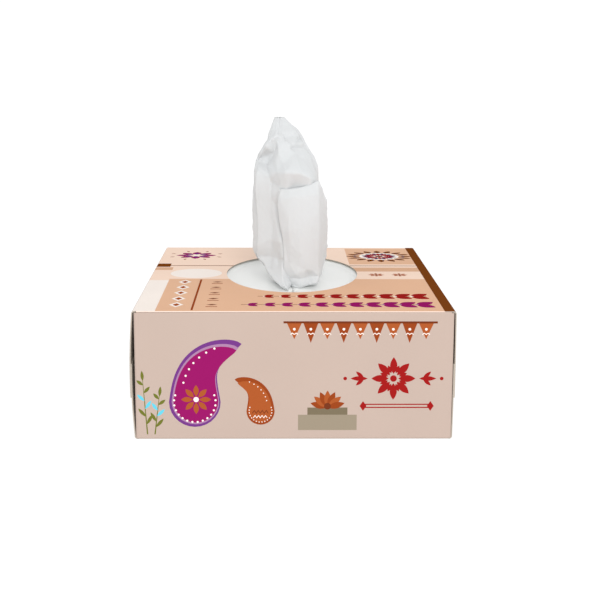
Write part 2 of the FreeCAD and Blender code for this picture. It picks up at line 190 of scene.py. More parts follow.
# The same for the front panel of the wrap.
WRAP_DENTS = (
    (-12, 52, -1.6), (18, 52, -1.6), (18, -4, 0), (-12, -4, 0),
    (-5.6, 43, -1.6), (0, 44, -3.2), (6, 45, -3.2), (10.6, 46.5, -2.6),
    (-5.4, 38, -0.4), (2, 39, -0.8), (9, 40, -0.5), (16, 38, 0),
    (-2.4, 30, 0.3), (-2.2, 25, 0.8), (-1.6, 20, 0.3), (-4.6, 24, 0),
    (3, 27, 0), (-2, 12, -0.6), (4, 15, 0.3), (8, 22, 0),
    (5.2, 9.4, 0.8), (6.2, 6, -1.4), (8, 8.6, 0.8), (3.4, 5.4, 0.2), (8.8, 3.6, 3.2),
    (6.2, 2.4, 2.2), (3, 1.8, 4.4), (0.4, 2.6, 2.2), (-2, 2.2, 3), (10.4, 6, 0.6),
    (0.6, 7.6, 0.8), (-1.4, 5.4, -0.2),
)


def ink(red, green, blue):
    """Printed colour, from 0 to 255, as the linear colour that shaders use."""
    shares = (red / 255, green / 255, blue / 255)
    return tuple(s / 12.92 if s <= 0.04045 else ((s + 0.055) / 1.055) ** 2.4 for s in shares)


def length(name, description, default):
    """Setting for a length, its usual value given in millimetres."""
    return FloatProperty(name=name, description=description, default=default * MM,
                         subtype="DISTANCE", unit="LENGTH", precision=5)


def amount(name, description, default):
    """Setting for a share or a strength, never below 0."""
    return FloatProperty(name=name, description=description, default=default, min=0.0)


def colour(name, description, *shares):
    """Setting for a colour, its usual value given from 0 to 255."""
    return FloatVectorProperty(name=name, description=description, default=ink(*shares),
                               subtype="COLOR", size=3, min=0.0, max=1.0)


class CartonSettings(bpy.types.PropertyGroup):
    """Sizes of the folded carton"""

    width: length("Width", "Across the front, over the closed ends", 120)
    board: length("Board", "Thickness of the paperboard", 0.4)
    fold_radius: length("Fold radius", "Outside radius of a crease", 1)
    flap_relief: length("Flap relief", "End flaps stop this short of the long panels", 0.7)
    upper_flap: length("Upper flap", "Height of the outer end flap", 33)
    lower_flap: length("Lower flap", "Height of the end flap under it", 29)
    dust_flap: length("Dust flap", "Length of the inner end flaps", 38)
    dust_clearance: length("Dust flap clearance", "From the top and bottom panels", 0.1)
    left_bow: length("Left bow", "How far the left end swells", 1.1)
    right_bow: length("Right bow", "How far the right end swells", 0.2)
    lap: length("Glue lap", "Height of the glue lap inside the back panel", 14)
    opening_width: length("Opening width", "Width of the oval opening", 56)
    opening_length: length("Opening length", "Length of the oval opening", 88)
    opening_offset: length("Opening offset", "How far back the opening lies", 6)


class InkSettings(bpy.types.PropertyGroup):
    """Colours of the carton, printed and bare"""

    beige: colour("Beige", "Front, back and end panels", 181, 162, 151)
    blush: colour("Blush", "Back of the top panel", 237, 210, 191)
    tan: colour("Tan", "Front of the top panel", 218, 174, 142)
    cream: colour("Cream", "Left strip of the top panel, and dots", 238, 228, 220)
    peach: colour("Peach", "Pale band of the top panel", 209, 165, 133)
    brown: colour("Brown", "Edge band and stripe", 114, 61, 23)
    umber: colour("Umber", "Dark rods and centres", 109, 52, 30)
    terracotta: colour("Terracotta", "Pennants and leaves", 141, 64, 29)
    clay: colour("Clay", "Lighter pennants and leaves", 160, 82, 42)
    magenta: colour("Magenta", "Large teardrops and flowers", 141, 24, 93)
    purple: colour("Purple", "Rims of the teardrops", 108, 55, 124)
    lilac: colour("Lilac", "Inner rims", 158, 118, 152)
    red: colour("Red", "Rosette and rules", 148, 28, 27)
    stone: colour("Stone", "Steps", 146, 134, 116)
    slate: colour("Slate", "Darker step", 115, 104, 84)
    olive: colour("Olive", "Sprigs", 105, 108, 45)
    cyan: colour("Cyan", "Slender leaves", 96, 192, 212)
    indigo: colour("Indigo", "Beads of the round flower", 62, 70, 104)
    # The fold colour is a painted highlight: a pale line along the top front fold that stands
    # for the light catching the crease.
    scuff: colour("Painted fold highlight", "Paler line worn along the top fold", 250, 224, 210)
    raw_board: colour("Raw board", "Unprinted inside of the board", 206, 200, 188)
    # The cut edge is coloured darker than the bare board as painted shade, which shows as a dark
    # line on the opening's back rim.
    cut_edge: colour("Cut edge", "Cut edge of the board", 172, 162, 150)


class FilmSettings(bpy.types.PropertyGroup):
    """Slit film under the opening"""

    margin: length("Border", "Glued border round the opening", 11)
    dish: length("Dish", "How far the film dips inside the opening", 1.35)
    slope: length("Slope", "How far the dish slopes to each side of the rim", 2.2)
    thickness: length("Thickness", "Thickness of the film", 0.08)
    slit_length: length("Slit length", "Length of the slit", 74)
    slit_held: length("Held length", "Length of slit that the tissue holds open", 51)
    slit_width: length("Slit width", "Width to which the tissue holds the slit open", 14.4)
    slit_offset: length("Slit offset", "The slit's centre from the opening's centre", -4)
    lip: length("Lip", "How far the tissue pulls the slit's edges up", 1.3)
    wrinkle: length("Wrinkle", "Depth of the film's wrinkles", 0.12)
    milky: colour("Film", "Milky colour of the film", 251, 252, 250)
    opacity: amount("Opacity", "Share of light that each side stops", 0.85)


class TissueSettings(bpy.types.PropertyGroup):
    """Tissue sheets"""

    thickness: length("Thickness", "Thickness of the drawn tissue", 0.14)
    crinkle: length("Crinkle", "Depth of the small crinkles", 0.12)
    settle: amount("Settle", "Share of its height that the tissue sinks", 0.017)
    shift: length("Shift", "How far the tissue leans to the right", 0.35)
    crease: length("Crease", "Height of the sharper folds at the back and sides", 0.9)
    pleat: length("Pleat", "Depth of the long soft pleats", 0.5)
    layers: IntProperty(name="Layers", description="Folded sheets that show on the stack",
                        default=56, min=10, max=120)
    # Glow is painted light: the tissue emits a little light of its own, in place of light let
    # through the thin paper, and this lifts its shade.
    glow: amount("Glow", "Light that the thin tissue lets through", 0.09)
    paper: colour("Paper", "Colour of the tissue", 197, 199, 200)


class StudioSettings(bpy.types.PropertyGroup):
    """Floor, light and camera"""

    floor_radius: length("Sweep radius", "Radius of the floor sweep", 2000)
    floor_glow: amount("Floor glow", "Light given by the floor", 0.86)
    sky: amount("Sky", "Light from all round", 0.85)
    key: amount("Key light", "Power of the soft light in front, in watts", 9.5)
    lens: amount("Lens", "Focal length, in millimetres", 74.8)


class TissueBoxSettings(bpy.types.PropertyGroup):
    """All settings of the tissue box"""

    carton: PointerProperty(type=CartonSettings)
    inks: PointerProperty(type=InkSettings)
    film: PointerProperty(type=FilmSettings)
    tissue: PointerProperty(type=TissueSettings)
    studio: PointerProperty(type=StudioSettings)


class Signal:
    """Output of a shader node; arithmetic on it adds Math nodes"""

    def __init__(self, finish, socket):
        self.finish = finish
        self.socket = socket

    def maths(self, operation, first, second):
        return self.finish.node("ShaderNodeMath", {"operation": operation},
                                {0: first, 1: second})

    def __add__(self, other):
        return self.maths("ADD", self, other)

    def __radd__(self, other):
        return self.maths("ADD", other, self)

    def __sub__(self, other):
        return self.maths("SUBTRACT", self, other)

    def __rsub__(self, other):
        return self.maths("SUBTRACT", other, self)

    def __mul__(self, other):
        return self.maths("MULTIPLY", self, other)

    def __rmul__(self, other):
        return self.maths("MULTIPLY", other, self)


class Finish:
    """Material made of nodes"""

    def __init__(self, name):
        self.material = bpy.data.materials.new(name)
        self.material.use_nodes = True
        self.tree = self.material.node_tree
        self.tree.nodes.clear()
        self.place = self.node("ShaderNodeTexCoord", output="Object")

    def node(self, kind, settings=None, values=None, output=0):
        """Adds a node: its settings first, then the values or links of its sockets."""
        added = self.tree.nodes.new(kind)
        for name, value in (settings or {}).items():
            setattr(added, name, value)
        for name, value in (values or {}).items():
            if isinstance(value, Signal):
                self.tree.links.new(value.socket, added.inputs[name])
            else:
                added.inputs[name].default_value = value
        return Signal(self, added.outputs[output] if added.outputs else None)

    def stretched(self, along):
        """Place on the piece, stretched along the axes."""
        return self.node("ShaderNodeVectorMath", {"operation": "MULTIPLY"},
                         {0: self.place, 1: along})

    def noise(self, scale, detail=2.0, roughness=0.5, place=None):
        """Noise from 0 to 1, with scale in waves per metre."""
        return self.node("ShaderNodeTexNoise", None,
                         {"Vector": place or self.place, "Scale": scale, "Detail": detail,
                          "Roughness": roughness}, "Fac")

    def between(self, share, first, second):
        """Colour between two colours."""
        return self.node("ShaderNodeMix", {"data_type": "RGBA"},
                         {0: share, 6: (*first, 1.0), 7: (*second, 1.0)}, 2)

    def bump(self, height, distance, strength):
        return self.node("ShaderNodeBump", None,
                         {"Height": height, "Distance": distance, "Strength": strength})

    def principled(self, values):
        """Principled shader with these sockets, joined to the output; gives the material."""
        shader = self.node("ShaderNodeBsdfPrincipled", None, values)
        self.node("ShaderNodeOutputMaterial", None, {"Surface": shader})
        return self.material


def shade(base, factor):
    """Lighter or darker version of a colour."""
    return tuple(min(1.0, share * factor) for share in base)


def printed_field(name, base):
    """Large printed field on coated board: faint blotches in the ink, fine board texture."""
    finish = Finish(name)
    blotch = finish.noise(38.0, 3.0, 0.55)
    speck = finish.noise(1400.0, 2.0, 0.6)
    grain = finish.noise(2600.0, 3.0, 0.6) + finish.noise(420.0, 2.0) * 0.6
    tone = blotch * 0.8 + speck * 0.2
    return finish.principled({
        "Base Color": finish.between(tone, shade(base, 0.955), shade(base, 1.045)),
        "Roughness": 0.5 + finish.noise(600.0) * 0.14,
        "Specular IOR Level": 0.02,
        "Normal": finish.bump(grain, 0.00003, 0.5),
    })


def printed_ink(name, base):
    """Ink printed over a field: even colour and no gloss of its own."""
    finish = Finish(name)
    return finish.principled({
        "Base Color": (*base, 1.0),
        "Roughness": 0.42 + finish.noise(800.0, 3.0) * 0.16,
        "Specular IOR Level": 0.0,
        "Normal": finish.bump(finish.noise(2600.0, 3.0, 0.6), 0.00002, 0.5),
    })


def bare_board(name, base):
    """Unprinted grey-white board with short fibres."""
    finish = Finish(name)
    fibres = finish.noise(900.0, 4.0, 0.65, finish.stretched((0.35, 1.0, 1.0)))
    return finish.principled({
        "Base Color": finish.between(fibres, shade(base, 0.86), shade(base, 1.1)),
        "Roughness": 0.86,
        "Specular IOR Level": 0.2,
        "Normal": finish.bump(fibres, 0.00006, 0.6),
    })


def milky_film(settings):
    """Thin milky film with faint streaks from rolling."""
    finish = Finish("milky_film")
    streaks = finish.noise(260.0, 2.0, 0.5, finish.stretched((1.0, 0.12, 1.0)))
    return finish.principled({
        "Base Color": finish.between(streaks, shade(settings.milky, 0.97), settings.milky),
        "Roughness": 0.3 + finish.noise(150.0) * 0.12,
        "Specular IOR Level": 0.45,
        "Alpha": settings.opacity,
        "Normal": finish.bump(streaks, 0.00008, 0.35),
    })


def soft_tissue(base, glow):
    """Creped two-ply tissue: fine crepe lines and fibres; the glow is painted light, an emission
    standing in for light let through it, which lifts its shaded folds.
    """
    finish = Finish("soft_tissue")
    crepe = finish.noise(1500.0, 2.0, 0.6, finish.stretched((0.4, 0.4, 1.6)))
    fibres = finish.noise(4200.0, 3.0, 0.7)
    cloudy = finish.noise(70.0, 3.0, 0.5)
    tone = cloudy * 0.6 + fibres * 0.4
    return finish.principled({
        "Base Color": finish.between(tone, shade(base, 0.975), shade(base, 1.02)),
        "Roughness": 0.9,
        "Specular IOR Level": 0.12,
        "Sheen Weight": 0.12,
        "Sheen Roughness": 0.6,
        "Subsurface Weight": 0.2,
        "Subsurface Radius": (0.001, 0.001, 0.001),
        "Subsurface Scale": 1.0,
        # Painted light: the tissue's own emission lifts the shade in its folds.
        "Emission Color": (*base, 1.0),
        "Emission Strength": glow,
        "Normal": finish.bump(crepe * 0.7 + fibres * 0.3, 0.00006, 0.5),
    })


def layered_tissue(base):
    """Cut and folded edges of many thin sheets, one over another."""
    finish = Finish("layered_tissue")
    layers = finish.noise(1500.0, 3.0, 0.6, finish.stretched((0.03, 0.03, 1.0)))
    return finish.principled({
        "Base Color": finish.between(layers, shade(base, 0.84), shade(base, 1.03)),
        "Roughness": 0.92,
        "Specular IOR Level": 0.12,
        "Sheen Weight": 0.1,
        "Normal": finish.bump(layers, 0.0002, 0.6),
    })


def white_sweep(settings):
    """Plain pale floor that glows a little, as a light table does."""
    finish = Finish("white_sweep")
    return finish.principled({
        "Base Color": (0.2, 0.2, 0.2, 1.0),
        "Roughness": 0.9,
        "Specular IOR Level": 0.0,
        "Emission Color": (1.0, 1.0, 1.0, 1.0),
        "Emission Strength": settings.floor_glow,
    })


class BentLine:
    """Outside of a board seen along its creases: straight runs joined by arcs.

    Corners are in millimetres and turn left, so the outside is on the right of the line.
    """

    arc_steps = 6

    def __init__(self, corners, radii):
        self.runs = []
        self.stops = []
        self.length = 0.0
        ways = [(Vector(b) - Vector(a)).normalized() for a, b in zip(corners, corners[1:])]
        here = Vector(corners[0])
        for corner, before, after, radius in zip(corners[1:-1], ways, ways[1:], radii):
            turn = math.acos(before.dot(after))
            reach = radius * math.tan(turn / 2)
            enter = Vector(corner) - before * reach
            self.add_run(here, before, 0.0, (enter - here).length)
            self.stops += [self.length + radius * turn * step / self.arc_steps
                           for step in range(self.arc_steps + 1)]
            self.add_run(enter, before, radius, radius * turn)
            here = Vector(corner) + after * reach
        self.add_run(here, ways[-1], 0.0, (Vector(corners[-1]) - here).length)

    def add_run(self, start, way, radius, span):
        self.runs.append((self.length, start, way, radius))
        self.length += span

    def at(self, distance):
        """Point and outward direction at a distance along the line."""
        begin, start, way, radius = [r for r in self.runs if r[0] <= distance + 1e-9][-1]
        left = Vector((-way.y, way.x))
        if not radius:
            return start + way * (distance - begin), -left
        angle = (distance - begin) / radius
        outward = way * math.sin(angle) - left * math.cos(angle)
        return start + left * radius + outward * radius, outward

    def reaches(self, test):
        """First distance at which the line's point passes a test."""
        steps, halvings = 4000, 30
        for step in range(1, steps + 1):
            if test(self.at(self.length * step / steps)[0]):
                break
        near, far = self.length * (step - 1) / steps, self.length * step / steps
        for _ in range(halvings):
            middle = (near + far) / 2
            if test(self.at(middle)[0]):
                far = middle
            else:
                near = middle
        return far


class Blank:
    """Flat cut sheet of the carton, and the way it folds up.

    On the blank, u runs across the panels and v round the sleeve: up the back, over the
    top, down the front and back under the bottom. Both are in millimetres.
    """

    # How far the seam starts above its fold, how much of a swollen end is curved, and how
    # far the lap keeps from the lower flap and narrows at its ends.
    seam_setback = 0.3
    bow_share = 0.8
    lap_relief = 0.4
    lap_taper = 6.0

    def __init__(self, sizes):
        self.mm = {name: getattr(sizes, name) / MM for name in type(sizes).__annotations__}
        mm = self.mm
        self.board = mm["board"]
        self.radius = mm["fold_radius"]
        self.half_depth = DEPTH / 2
        self.inner_half = mm["width"] / 2 - 2 * self.board
        self.half = self.inner_half - self.radius
        self.flap_start = self.half - self.radius
        self.edge = self.half_depth - mm["flap_relief"]
        self.dust_low = self.board + mm["dust_clearance"]
        deep, seam = self.half_depth, self.half_depth - self.board
        self.sleeve = BentLine(
            [(deep, self.seam_setback), (deep, HEIGHT), (-deep, HEIGHT), (-deep, 0.0),
             (seam, 0.0), (seam, mm["lap"])], [self.radius] * 4)
        self.dust = BentLine(
            [(-self.flap_start, deep), (-self.inner_half, deep),
             (-self.inner_half, deep - mm["dust_flap"])], [self.radius])
        self.ends = {}
        for side, bow in ((-1, mm["left_bow"]), (1, mm["right_bow"])):
            for layer, flap in enumerate((mm["upper_flap"], mm["lower_flap"])):
                self.ends[side, layer] = self.end_line(bow, layer, HEIGHT - flap)
        self.v_top, self.v_front, self.v_bottom, self.v_lap = (
            run[0] for run in self.sleeve.runs[2::2])

    def end_line(self, bow, layer, cut):
        """Bowed line of an end flap, from its own panel to its cut edge."""
        rise = bow / (1 - self.bow_share / 2)
        lean = math.atan2(rise, HEIGHT / 2)
        curve = self.bow_share * HEIGHT / 2 / math.sin(lean)
        edge = self.mm["width"] / 2 - layer * self.board / math.cos(lean)
        line = BentLine(
            [(-self.flap_start, HEIGHT), (-edge, HEIGHT), (-edge - rise, HEIGHT / 2),
             (-edge, 0.0), (-self.flap_start, 0.0)],
            [self.radius, curve - layer * self.board, self.radius])
        line.length = line.reaches(lambda p: p.y <= cut)
        line.stops = [s for s in line.stops if s < line.length]
        return line

    def v_of(self, panel, place):
        """Place along the sleeve of a height (back and front) or depth (top and bottom)."""
        return {
            "back": place - self.seam_setback,
            "top": self.v_top + self.half_depth - self.radius - place,
            "front": self.v_front + HEIGHT - self.radius - place,
            "bottom": self.v_bottom + self.half_depth - self.radius + place,
        }[panel]

    def panel_of(self, v):
        if v < self.v_top - self.radius:
            return "back"
        if v < self.v_front - self.radius:
            return "top"
        if v < self.v_bottom - self.radius:
            return "front"
        return "bottom"

    def flaps(self):
        """Each flap's line and its two sides on the sleeve, per side of the carton."""
        low, high = self.dust_low, HEIGHT - self.dust_low
        for side in (-1, 1):
            yield side, self.dust, self.v_of("back", low), self.v_of("back", high)
            yield (side, self.ends[side, 0], self.v_of("top", self.edge),
                   self.v_of("top", -self.edge))
            yield side, self.dust, self.v_of("front", high), self.v_of("front", low)
            yield (side, self.ends[side, 1], self.v_of("bottom", -self.edge),
                   self.v_of("bottom", self.edge - self.lap_relief))

    def outline(self):
        """Cut outline of the whole blank."""
        sides = {}
        for side in (-1, 1):
            points = [(self.half, 0.0)]
            for _, line, start, end in [f for f in self.flaps() if f[0] == side]:
                reach = self.flap_start + line.length
                points += [(self.half, start), (reach, start), (reach, end), (self.half, end)]
            points += [(self.half, self.v_lap),
                       (self.half - self.lap_taper, self.sleeve.length)]
            sides[side] = [(side * u, v) for u, v in points]
        return sides[1] + sides[-1][::-1]

    def crease_lines(self):
        """Lines where the flat sheet starts to bend, as pairs of points."""
        for stop in self.sleeve.stops:
            yield (-self.half, stop), (self.half, stop)
        for side, line, start, end in self.flaps():
            for stop in line.stops:
                u = side * (self.flap_start + stop)
                if abs(u) > self.half:
                    yield (u, start), (u, end)
            yield (side * self.half, start), (side * self.half, end)

    def fold(self, u, v):
        """Folded place of a point of the blank, and the board's outward direction there."""
        side = -1 if u < 0 else 1
        sleeve_point, sleeve_out = self.sleeve.at(v)
        if abs(u) <= self.half + 1e-6:
            return (Vector((u, *sleeve_point)), Vector((0.0, *sleeve_out)))
        distance = abs(u) - self.flap_start
        panel = self.panel_of(v)
        if panel in ("back", "front"):
            point, out = self.dust.at(distance)
            way = 1 if panel == "back" else -1
            return (Vector((-side * point.x, way * point.y, sleeve_point.y)),
                    Vector((-side * out.x, way * out.y, 0.0)))
        point, out = self.ends[side, 0 if panel == "top" else 1].at(distance)
        height = point.y if panel == "top" else HEIGHT - point.y
        way = 1 if panel == "top" else -1
        return (Vector((-side * point.x, sleeve_point.x, height)),
                Vector((-side * out.x, 0.0, way * out.y)))

    def on_panel(self, panel, across, along):
        """Point of the blank for a point of a panel's own drawing.

        across runs to the right as the panel is seen from outside; along is the height, or
        the depth on the top panel.
        """
        if panel == "back":
            return -across, self.v_of("back", along)
        if panel in ("left", "right"):
            side = -1 if panel == "left" else 1
            down = self.flap_start + self.radius + HEIGHT - along
            return side * down, self.v_of("top", side * across)
        return across, self.v_of(panel, along)


def disc(x, y, radius, steps):
    turns = [math.tau * step / steps for step in range(steps)]
    return [(x + radius * math.cos(t), y + radius * math.sin(t)) for t in turns]


def bar(x0, y0, x1, y1):
    return [(x0, y0), (x1, y0), (x1, y1), (x0, y1)]


def diamond(x, y, half_width, half_height):
    return [(x - half_width, y), (x, y - half_height), (x + half_width, y),
            (x, y + half_height)]


def leaf(x, y, reach, half_width, turn):
    """Pointed leaf from its foot at x, y; turn is in degrees from straight up."""
    steps = 8
    sides = [(half_width * math.sin(math.pi * k / steps) ** 0.9, reach * k / steps)
             for k in range(1, steps)]
    points = [(0.0, 0.0)] + sides + [(0.0, reach)] + [(-w, r) for w, r in sides[::-1]]
    angle = math.radians(turn)
    return [(x + w * math.cos(angle) + r * math.sin(angle),
             y - w * math.sin(angle) + r * math.cos(angle)) for w, r in points]


def petals(tint, x, y, count, root, reach, half_width, start=0.0):
    """Ring of leaves round a centre."""
    for k in range(count):
        turn = start + 360.0 * k / count
        foot = (x + root * math.sin(math.radians(turn)), y + root * math.cos(math.radians(turn)))
        yield tint, leaf(*foot, reach, half_width, turn)


def beads(tint, x, y, count, ring, radius, start):
    """Ring of small discs round a centre."""
    for k in range(count):
        turn = math.radians(start + 360.0 * k / count)
        yield tint, disc(x + ring * math.sin(turn), y + ring * math.cos(turn), radius, 12)


def zigzag(x0, x1, y, rise, thick, teeth):
    """Band of even thickness going up and down from x0 to x1."""
    step = (x1 - x0) / (2 * teeth)
    tops = [(x0 + k * step, y + (rise if k % 2 else 0.0)) for k in range(2 * teeth + 1)]
    return tops + [(px, py - thick) for px, py in tops[::-1]]


def spine(t):
    """Middle line of a teardrop of size 1, from its foot at 0 to its curled tip at 1."""
    return 0.34 * (1 - math.cos(2.3 * t)) * t, 1.02 * t - 0.30 * t ** 3


def teardrop(x, y, size, flip):
    """Curled teardrop on its round foot, its tip bending to one side."""
    left, right = [], []
    steps, foot_steps, foot_radius = 26, 14, 0.31
    for k in range(steps + 1):
        t = k / steps
        way = Vector((0.34 * ((1 - math.cos(2.3 * t)) + 2.3 * t * math.sin(2.3 * t)),
                      1.02 - 0.9 * t * t)).normalized()
        width = foot_radius * (1 - t) ** 0.72 * (1 + 0.25 * t)
        side = Vector((way.y, -way.x)) * width
        right.append(Vector(spine(t)) + side)
        left.append(Vector(spine(t)) - side)
    foot = [Vector((-foot_radius * math.cos(a), -foot_radius * math.sin(a)))
            for a in (math.pi * k / foot_steps for k in range(1, foot_steps))]
    points = right + left[::-1][1:] + foot
    return [(x + flip * size * p.x, y + size * p.y) for p in points]


def dotted_teardrop(x, y, size, flip, rims):
    """Teardrops one inside another, with a row of dots along the edge."""
    for rim, inset in rims:
        yield rim, teardrop(x + flip * inset * size * 0.1, y + inset * size * 0.1,
                            size * (1 - inset), flip)
    dot, ring, foot_dots, side_dots = size * 0.013, 0.25, 16, 7
    for k in range(foot_dots):
        a = math.radians(-200 + 220 * k / (foot_dots - 1))
        yield "cream", disc(x + flip * size * ring * math.cos(a),
                            y + size * ring * math.sin(a), dot, 10)
    for k in range(side_dots):
        t = 0.22 + 0.09 * k
        across, up = spine(t)
        yield "cream", disc(x + flip * size * (across - 0.17 * (1 - t) ** 0.7),
                            y + size * (up + 0.02), dot, 10)


def pennants():
    """Rod with a row of pennants of two lengths, each with a dot and a wavy line."""
    rod = 44.6
    yield "umber", bar(-4, rod, 53, 45.4)
    for k in range(9):
        x = 6.1 * k
        tint, drop = ("terracotta", 7.4) if k % 2 else ("clay", 6.0)
        yield tint, [(x - 2.7, rod), (x, rod - drop), (x + 2.7, rod)]
        yield "cream", disc(x, 42.4, 0.5, 12)
        yield "cream", zigzag(x - 1.4, x + 1.4, 40.6, 0.5, 0.35, 2)


def teardrop_pair():
    """Large teardrop with a flower at its foot, and a small one with zigzags."""
    yield from dotted_teardrop(-37, 14.5, 31, 1,
                               (("purple", 0), ("lilac", 0.08), ("magenta", 0.13)))
    yield from petals("clay", -36.5, 15.5, 8, 1.2, 4.4, 1)
    yield "cream", disc(-36.5, 15.5, 1, 16)
    yield from dotted_teardrop(-12.5, 11, 17, -1, (("terracotta", 0), ("clay", 0.14)))
    yield "umber", zigzag(-15.6, -9.6, 10.4, 1.1, 0.5, 4)
    yield "cream", zigzag(-15.2, -10, 8.6, 0.9, 0.4, 4)


def stepped_fan():
    """Two steps with a fan of leaves on them."""
    yield "stone", bar(1.5, 3.6, 23.5, 9.6)
    yield "slate", bar(5, 9.6, 20, 12.4)
    for k in range(7):
        yield ("clay" if k % 2 else "terracotta"), leaf(12.5, 12.4, 6.6, 1.25, -75 + 25 * k)
    yield "umber", disc(12.5, 12.9, 1.3, 16)


def rosette(x, y):
    """Round flower with a spray at each side, over a double rule between diamonds."""
    yield from petals("red", x, y, 8, 1.8, 6.4, 1.35)
    yield from petals("red", x, y, 8, 2.2, 3.2, 0.7, 22.5)
    yield "red", disc(x, y, 1.25, 18)
    rule_start, rule_end = 25.8, 51.0
    for height in (13.4, 12.2):
        yield "red", bar(rule_start, height, rule_end, height + 0.45)
    for rule_tip in (rule_start, rule_end):
        yield "red", diamond(rule_tip, 13, 1.3, 1.9)
    for side in (-1, 1):
        yield "red", leaf(x + side * 9.6, y, 6.4, 0.9, side * 90)
        yield "red", disc(x + side * 18, y, 0.7, 14)
        for turn in (48, 132):
            yield "red", leaf(x + side * 11, y, 4, 0.7, side * turn)


def front_drawing():
    """Drawing on the long panels."""
    yield from pennants()
    yield from teardrop_pair()
    yield from stepped_fan()
    yield from rosette(37, 23.6)
    yield from sprig(-54.8, 2, -4, 21)
    yield from sprig(-52, 2, 7, 15)


def sprig(x, foot, lean, tall):
    """Stem with olive leaves and a few slender cyan ones."""
    tip = x + tall * math.tan(math.radians(lean))
    yield "olive", [(x - 0.25, foot), (x + 0.25, foot), (tip + 0.1, foot + tall),
                    (tip - 0.1, foot + tall)]
    for k in range(6):
        t = 0.18 + 0.145 * k
        side = -1 if k % 2 else 1
        tint = "cyan" if k in (2, 3) else "olive"
        yield tint, leaf(x + (tip - x) * t, foot + tall * t, 4.6 - 0.3 * k, 0.62,
                         lean + side * (34 + 3 * k))
    yield "olive", leaf(tip, foot + tall - 0.4, 4.0, 0.6, lean)


def chain(x0, x1, y, leaf_tint, bead_tint):
    """Garland lying along the panel: a stem with pairs of leaves and small beads."""
    yield "umber", bar(x0, y - 0.3, x1, y + 0.3)
    step, tilt = 6.4, 36
    count = int((x1 - x0) / step)
    for k in range(count):
        x = x0 + step * (k + 0.4)
        grow = 0.62 + 0.5 * k / count
        for side in (-1, 1):
            yield leaf_tint, leaf(x, y + side * 0.2, 7.6 * grow, 2.4 * grow,
                                  90 - side * tilt)
        yield bead_tint, disc(x, y, 0.75 * grow, 12)


def top_fields():
    """Fields and stripes of the top panel."""
    left, right, low, high = -59.7, 55.6, -74.1, 74.1
    yield "blush", bar(left, low, 58.2, high)
    yield "cream", bar(left, low, -51.4, -12)
    yield "cream", disc(-41, 4, 11, 40)
    yield "tan", bar(-51.4, low, right, -9)
    yield "peach", bar(27, 9, right, 18.8)
    yield "peach", bar(left, 12, -52, 18.8)
    yield "tan", bar(26, 27, right, 71)
    yield "brown", bar(left, 22.6, right, 23.7)
    yield "brown", bar(left, 20, -53.6, 28.4)


def small_flower(x, y):
    """Flower of two rings of petals in a ring of small leaves."""
    yield from petals("magenta", x, y, 8, 2.2, 7.2, 2.1)
    yield from petals("purple", x, y, 8, 2.2, 4.2, 0.9)
    yield "cream", disc(x, y, 1.7, 18)
    yield from petals("terracotta", x, y, 8, 10.4, 2.6, 0.6, 22.5)


def beaded_flower(x, y):
    """Large round flower with a ring of beads."""
    yield from petals("brown", x, y, 16, 9, 6.6, 1.5)
    yield from beads("indigo", x, y, 32, 11.4, 0.55, 5.6)
    yield "cream", disc(x, y, 9.2, 36)
    yield from petals("indigo", x, y, 12, 4.6, 3.8, 0.9, 15)
    yield from petals("red", x, y, 12, 2, 5.6, 1.1)
    yield "umber", disc(x, y, 1.9, 18)


def top_drawing():
    """Fields, stripes and ornaments of the top panel."""
    yield from top_fields()
    for k in range(5):
        y = -16.0 - 11.6 * k
        yield "cream", diamond(-44.4, y, 2.7, 4.6)
        yield "clay", diamond(-44.4, y, 1.4, 2.6)
        yield "umber", diamond(-31, y, 2.2, 1.1)
        yield "terracotta", bar(-33.2, y - 4, -28.8, y - 3.1)
    yield "terracotta", bar(-38.4, -72.5, -37.6, -10.5)
    yield from chain(-14, 52, -46, "red", "cream")
    yield from chain(-20, 52, -62, "magenta", "lilac")
    yield from small_flower(-44, 51)
    yield from beaded_flower(41, 49)
    for x in (36, 46):
        yield from petals("clay", x, 1, 8, 0.8, 2.8, 0.7)
        yield "umber", disc(x, 1, 0.8, 12)
    yield "brown", bar(55.6, -74.1, 61.6, 74.1)
    # Painted highlight: a pale strip along the top front fold.
    yield "scuff", bar(-58.2, -74.6, 55.6, -74.1)


def end_drawing():
    """Drawing on the outer end flaps."""
    yield "terracotta", zigzag(-70, 70, 42, 2, 1, 35)
    yield "clay", bar(-72, 39.2, 72, 40)
    for x in (-48, -24, 0, 24, 48):
        tint = "magenta" if abs(x) == 24 else "terracotta"
        yield from petals(tint, x, 28, 8, 1.8, 5.6, 1.3)
        yield "cream", disc(x, 28, 1.3, 16)
    for x in (-36, -12, 12, 36):
        yield "olive", diamond(x, 28, 1.2, 2.6)


def drawings(blank):
    """Every printed shape with its ink, as outlines on the blank, lowest ink first."""
    for panel, drawing in (("top", top_drawing), ("front", front_drawing),
                           ("back", front_drawing), ("left", end_drawing),
                           ("right", end_drawing)):
        for tint, points in drawing():
            yield tint, [blank.on_panel(panel, *point) for point in points]


def counter_clockwise(points):
    """Outline in the turning direction that the cutting needs."""
    area = sum(a[0] * b[1] - b[0] * a[1] for a, b in zip(points, points[1:] + points[:1]))
    return points if area > 0 else points[::-1]


def cut_blank(blank, hole, shapes):
    """Flat blank in triangles, each with the number of the topmost shape that it lies in."""
    points, edges, faces = [], [], []
    for loop in [blank.outline(), hole] + shapes:
        faces.append(list(range(len(points), len(points) + len(loop))))
        points += counter_clockwise(loop)
    for line in blank.crease_lines():
        edges.append((len(points), len(points) + 1))
        points += line
    flat, _, triangles, _, _, owners = delaunay_2d_cdt(
        [Vector(point) for point in points], edges, faces, 1, 1e-3, True)
    board, gap, first_shape = 0, 1, 2
    kept = [(triangle, max(owner) - first_shape) for triangle, owner in zip(triangles, owners)
            if board in owner and gap not in owner]
    return flat, kept


